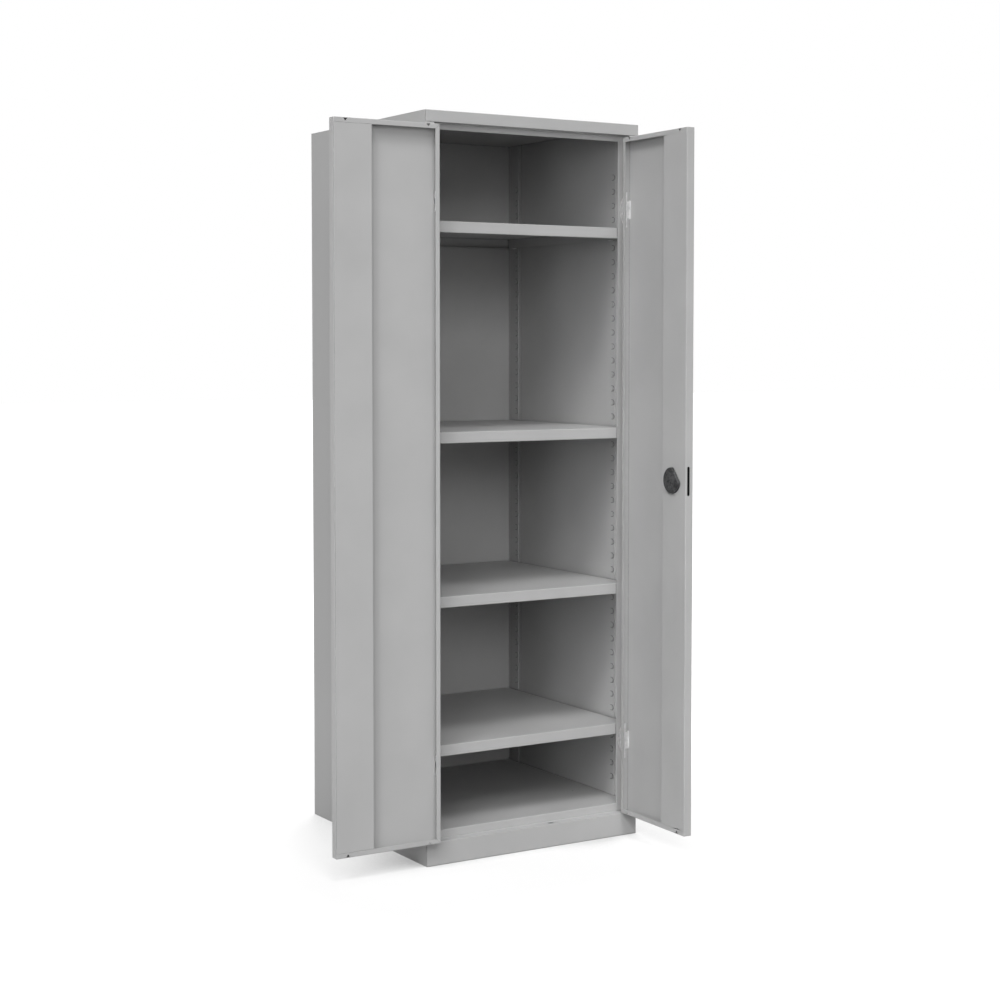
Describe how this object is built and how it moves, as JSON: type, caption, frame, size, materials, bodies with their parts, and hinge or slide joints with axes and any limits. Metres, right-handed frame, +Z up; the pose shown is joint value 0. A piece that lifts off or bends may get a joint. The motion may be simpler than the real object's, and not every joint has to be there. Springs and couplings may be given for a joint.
{
  "type": "filing_cabinet",
  "caption": "Tall steel filing cabinet with two hinged doors, adjustable shelves on perforated rails, a turning door handle and a rod lock",
  "frame": {"origin": "On the ground, midway between the sides, in the middle of the plinth's turned-in foot flange, 10 mm behind the cabinet's front plane.", "axes": "+X is to the right as one faces the doors, +Y from the doors to the back, +Z up, the height. The left door rests fully open at 180 degrees and the right door at 88 degrees, as in the picture; the handle rests upright, unlocked, where the door hides it from the front."},
  "size_m": [0.9625, 0.9922, 2],
  "materials": {
    "powder_coated_steel": "fine-textured light grey powder coat, satin",
    "zinc_plated_steel": "bright zinc plate",
    "black_plastic": "fine-grained black",
    "dark_grey_plastic": "dark grey, satin"
  },
  "bodies": {
    "carcass": {"left_side_panel": "powder_coated_steel", "right_side_panel": "powder_coated_steel", "back_panel": "powder_coated_steel", "top_cap": "powder_coated_steel", "bottom_panel": "powder_coated_steel", "rear_base_rail": "powder_coated_steel", "front_left_shelf_rail": "powder_coated_steel", "front_right_shelf_rail": "powder_coated_steel", "rear_left_shelf_rail": "powder_coated_steel", "rear_right_shelf_rail": "powder_coated_steel", "shelf_1_clip_front_left": "zinc_plated_steel", "shelf_1_clip_front_right": "zinc_plated_steel", "shelf_1_clip_rear_left": "zinc_plated_steel", "shelf_1_clip_rear_right": "zinc_plated_steel", "shelf_2_clip_front_left": "zinc_plated_steel", "shelf_2_clip_front_right": "zinc_plated_steel", "shelf_2_clip_rear_left": "zinc_plated_steel", "shelf_2_clip_rear_right": "zinc_plated_steel", "shelf_3_clip_front_left": "zinc_plated_steel", "shelf_3_clip_front_right": "zinc_plated_steel", "shelf_3_clip_rear_left": "zinc_plated_steel", "shelf_3_clip_rear_right": "zinc_plated_steel", "shelf_4_clip_front_left": "zinc_plated_steel", "shelf_4_clip_front_right": "zinc_plated_steel", "shelf_4_clip_rear_left": "zinc_plated_steel", "shelf_4_clip_rear_right": "zinc_plated_steel", "left_lower_frame_leaf": "zinc_plated_steel", "left_lower_hinge_pin": "zinc_plated_steel", "left_upper_frame_leaf": "zinc_plated_steel", "left_upper_hinge_pin": "zinc_plated_steel", "right_lower_frame_leaf": "zinc_plated_steel", "right_lower_hinge_pin": "zinc_plated_steel", "right_upper_frame_leaf": "zinc_plated_steel", "right_upper_hinge_pin": "zinc_plated_steel"},
    "left_door": {"left_door_panel": "powder_coated_steel", "left_door_stiffener": "powder_coated_steel", "left_lower_door_leaf": "zinc_plated_steel", "left_upper_door_leaf": "zinc_plated_steel"},
    "right_door": {"right_door_panel": "powder_coated_steel", "right_door_stiffener": "powder_coated_steel", "right_lower_door_leaf": "zinc_plated_steel", "right_upper_door_leaf": "zinc_plated_steel", "handle_rosette": "black_plastic", "inner_lock_cover": "dark_grey_plastic", "upper_rod_guide": "black_plastic", "lower_rod_guide": "black_plastic"},
    "handle": {"door_handle": "black_plastic", "lock_sleeve": "zinc_plated_steel", "lock_spindle": "zinc_plated_steel", "lock_cam": "zinc_plated_steel"},
    "plug": {"lock_plug": "zinc_plated_steel"},
    "upper_rod": {"upper_lock_rod": "zinc_plated_steel"},
    "lower_rod": {"lower_lock_rod": "zinc_plated_steel"},
    "shelf_1_body": {"shelf_1": "powder_coated_steel"},
    "shelf_2_body": {"shelf_2": "powder_coated_steel"},
    "shelf_3_body": {"shelf_3": "powder_coated_steel"},
    "shelf_4_body": {"shelf_4": "powder_coated_steel"}
  },
  "joints": [
    {"name": "left_door_hinge", "type": "hinge", "parent": "carcass", "child": "left_door", "pos_m": [-0.312, -0.012, 1.0165], "axis": [0, 0, -1], "range_deg": [-180, 0]},
    {"name": "right_door_hinge", "type": "hinge", "parent": "carcass", "child": "right_door", "pos_m": [0.312, -0.012, 1.0165], "axis": [0, 0, 1], "range_deg": [-88, 92]},
    {"name": "handle_turn", "type": "hinge", "parent": "right_door", "child": "handle", "pos_m": [0.31118, -0.26462, 1.023], "axis": [-0.9994, 0.0349, 0], "range_deg": [0, 90]},
    {"name": "key_turn", "type": "hinge", "parent": "handle", "child": "plug", "pos_m": [0.32617, -0.26515, 1.023], "axis": [-0.9994, 0.0349, 0], "range_deg": [0, 90]},
    {"name": "upper_rod_slide", "type": "slide", "parent": "right_door", "child": "upper_rod", "axis": [0, 0, 1], "range_m": [0, 0.0145]},
    {"name": "lower_rod_slide", "type": "slide", "parent": "right_door", "child": "lower_rod", "axis": [0, 0, -1], "range_m": [0, 0.0145]},
    {"name": "shelf_1_lift", "type": "slide", "parent": "carcass", "child": "shelf_1_body", "axis": [0, 0, 1], "range_m": [0, 0.04]},
    {"name": "shelf_2_lift", "type": "slide", "parent": "carcass", "child": "shelf_2_body", "axis": [0, 0, 1], "range_m": [0, 0.04]},
    {"name": "shelf_3_lift", "type": "slide", "parent": "carcass", "child": "shelf_3_body", "axis": [0, 0, 1], "range_m": [0, 0.04]},
    {"name": "shelf_4_lift", "type": "slide", "parent": "carcass", "child": "shelf_4_body", "axis": [0, 0, 1], "range_m": [0, 0.04]}
  ],
  "couplings": [
    {"joint": "upper_rod_slide", "follows": "handle_turn", "m_per_rad": 0.009003},
    {"joint": "lower_rod_slide", "follows": "handle_turn", "m_per_rad": 0.009003}
  ]
}
